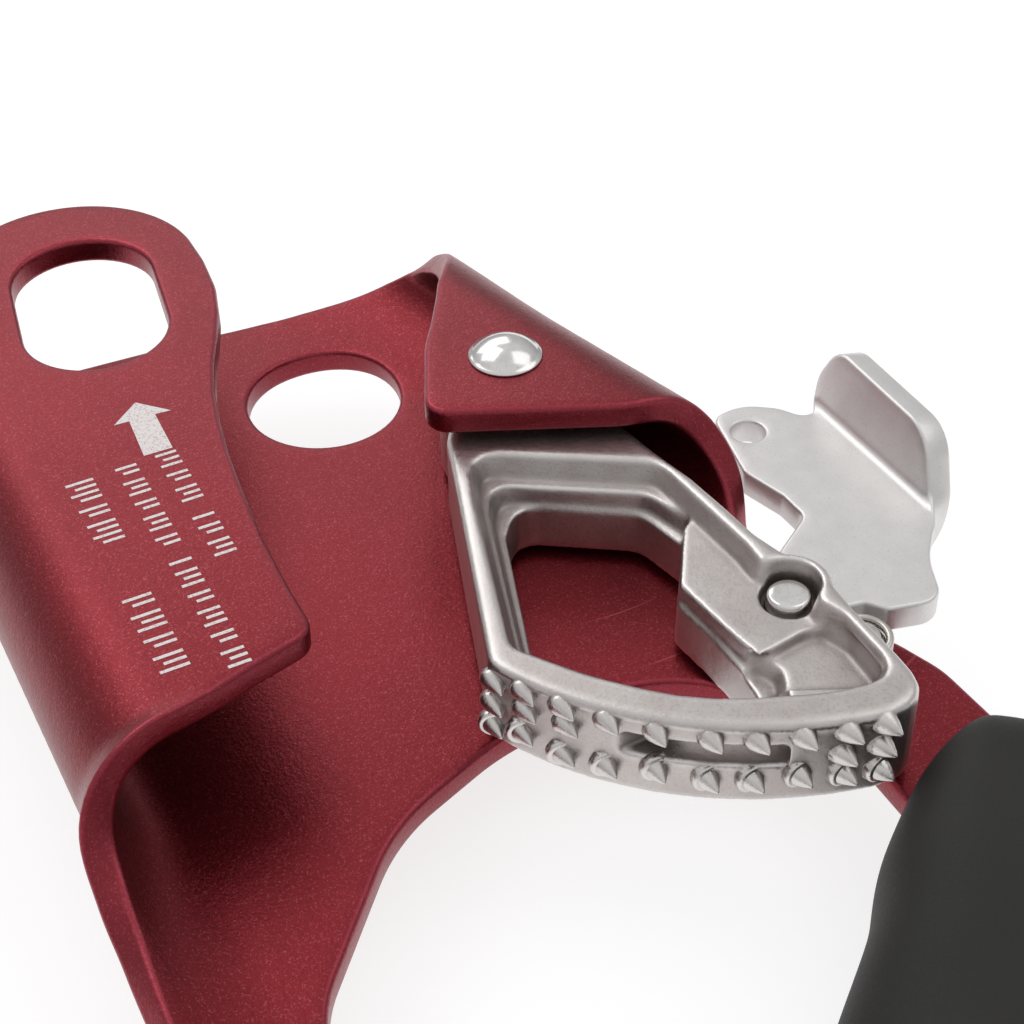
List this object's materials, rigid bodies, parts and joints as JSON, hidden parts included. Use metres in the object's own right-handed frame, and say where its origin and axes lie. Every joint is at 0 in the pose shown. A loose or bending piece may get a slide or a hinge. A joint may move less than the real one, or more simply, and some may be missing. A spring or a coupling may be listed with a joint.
{
  "type": "handled rope ascender",
  "caption": "Handled rope ascender: bent plate frame with rope channel, toothed cam held open by a thumb catch, moulded grip on the hand loop.",
  "frame": {"origin": "centre of the main lower hole at the plate's back face", "axes": "+Z towards the front of the device, +Y up the rope, +X from the rope channel to the grip"},
  "size_m": [0.1093, 0.2243, 0.0335],
  "materials": {
    "red_plate": "satin",
    "cast_steel": "satin",
    "polished_steel": "gloss",
    "spring_steel": "satin",
    "washer_nylon": "matte",
    "black_rubber": "matte"
  },
  "bodies": {
    "frame": {"frame_plate": "red_plate", "grip_sleeve": "black_rubber", "cam_rivet": "polished_steel", "rivet_washer": "polished_steel", "cam_washers": "washer_nylon", "cam_spring": "spring_steel"},
    "cam": {"cam": "cast_steel", "catch_pin": "polished_steel", "pin_clip": "polished_steel"},
    "catch": {"catch_lever": "polished_steel", "spring_post": "polished_steel", "catch_spring": "spring_steel"}
  },
  "joints": [
    {"name": "cam_swing", "type": "hinge", "parent": "frame", "child": "cam", "pos_m": [0.048, 0.15, 0.0103], "axis": [0, 0, 1], "range_deg": [-66, 0]},
    {"name": "catch_swing", "type": "hinge", "parent": "cam", "child": "catch", "pos_m": [0.0595, 0.1046, 0.007], "axis": [0, 0, 1], "range_deg": [-33, 0]}
  ],
  "couplings": [
    {"joint": "catch_swing", "follows": "cam_swing", "ratio": 0.5}
  ]
}
